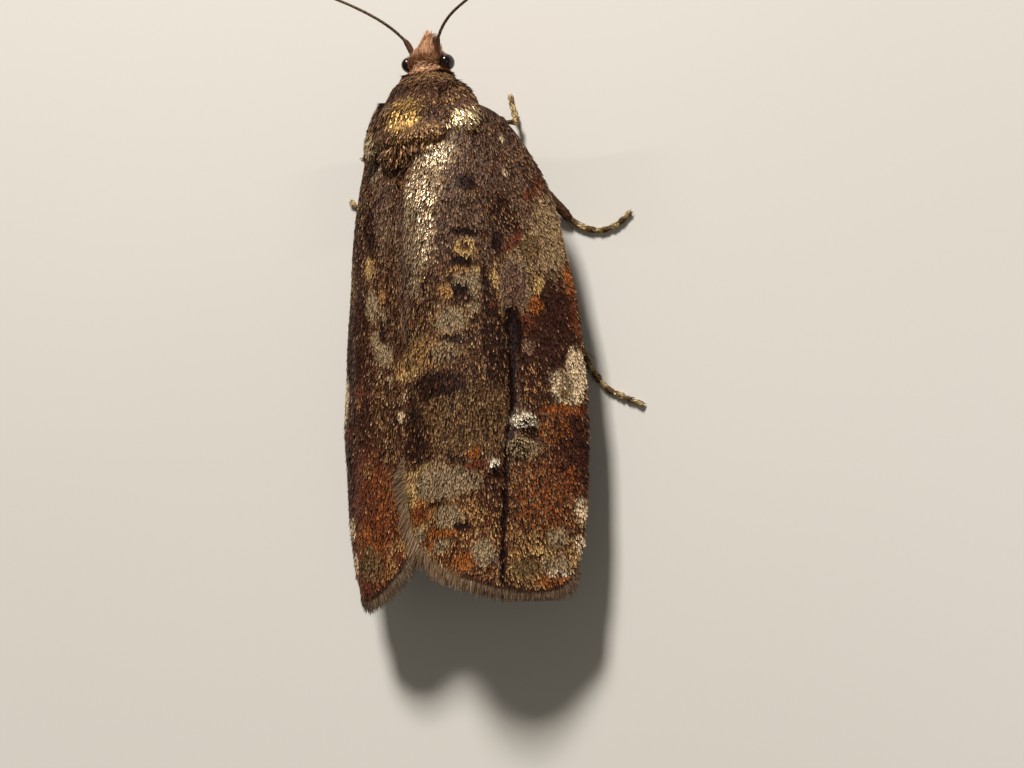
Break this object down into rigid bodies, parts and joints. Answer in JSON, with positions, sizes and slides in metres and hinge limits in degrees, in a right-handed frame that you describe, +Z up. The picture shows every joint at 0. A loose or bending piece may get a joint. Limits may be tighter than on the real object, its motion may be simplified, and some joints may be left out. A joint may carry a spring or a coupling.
{
  "type": "leafroller moth",
  "caption": "Life-size still model of a leafroller moth at rest, wings folded like a roof over the body, feelers spread.",
  "frame": {"origin": "centre of the bounding box on the floor under the moth", "axes": "+Z up, -Y the way the head looks, +Y to the wing tips, +X the moth's left"},
  "size_m": [0.0096, 0.0158, 0.0047],
  "materials": {
    "wing_scales": "overlapping scales in dark brown, grey, ochre and rust, satin",
    "hindwing_scales": "fine grey-brown scales on a thin membrane, satin",
    "body_scales": "brown and bronze scales with a slight metallic sheen",
    "eye": "finely faceted, glossy black-brown",
    "feeler": "ringed dark brown and tan, satin",
    "leg_scales": "scales in bands of cream and dark brown, satin"
  },
  "bodies": {
    "root": {"abdomen": "body_scales", "antenna_left": "feeler", "antenna_right": "feeler", "eye_left": "eye", "eye_right": "eye", "forewing_left": "wing_scales", "forewing_right": "wing_scales", "head": "body_scales", "hindwing_left": "hindwing_scales", "hindwing_right": "hindwing_scales", "leg_fore_left": "leg_scales", "leg_fore_right": "leg_scales", "leg_hind_left": "leg_scales", "leg_hind_right": "leg_scales", "leg_mid_left": "leg_scales", "leg_mid_right": "leg_scales", "palp_left": "body_scales", "palp_right": "body_scales", "tegula_left": "body_scales", "tegula_right": "body_scales", "thorax": "body_scales"}
  },
  "joints": []
}
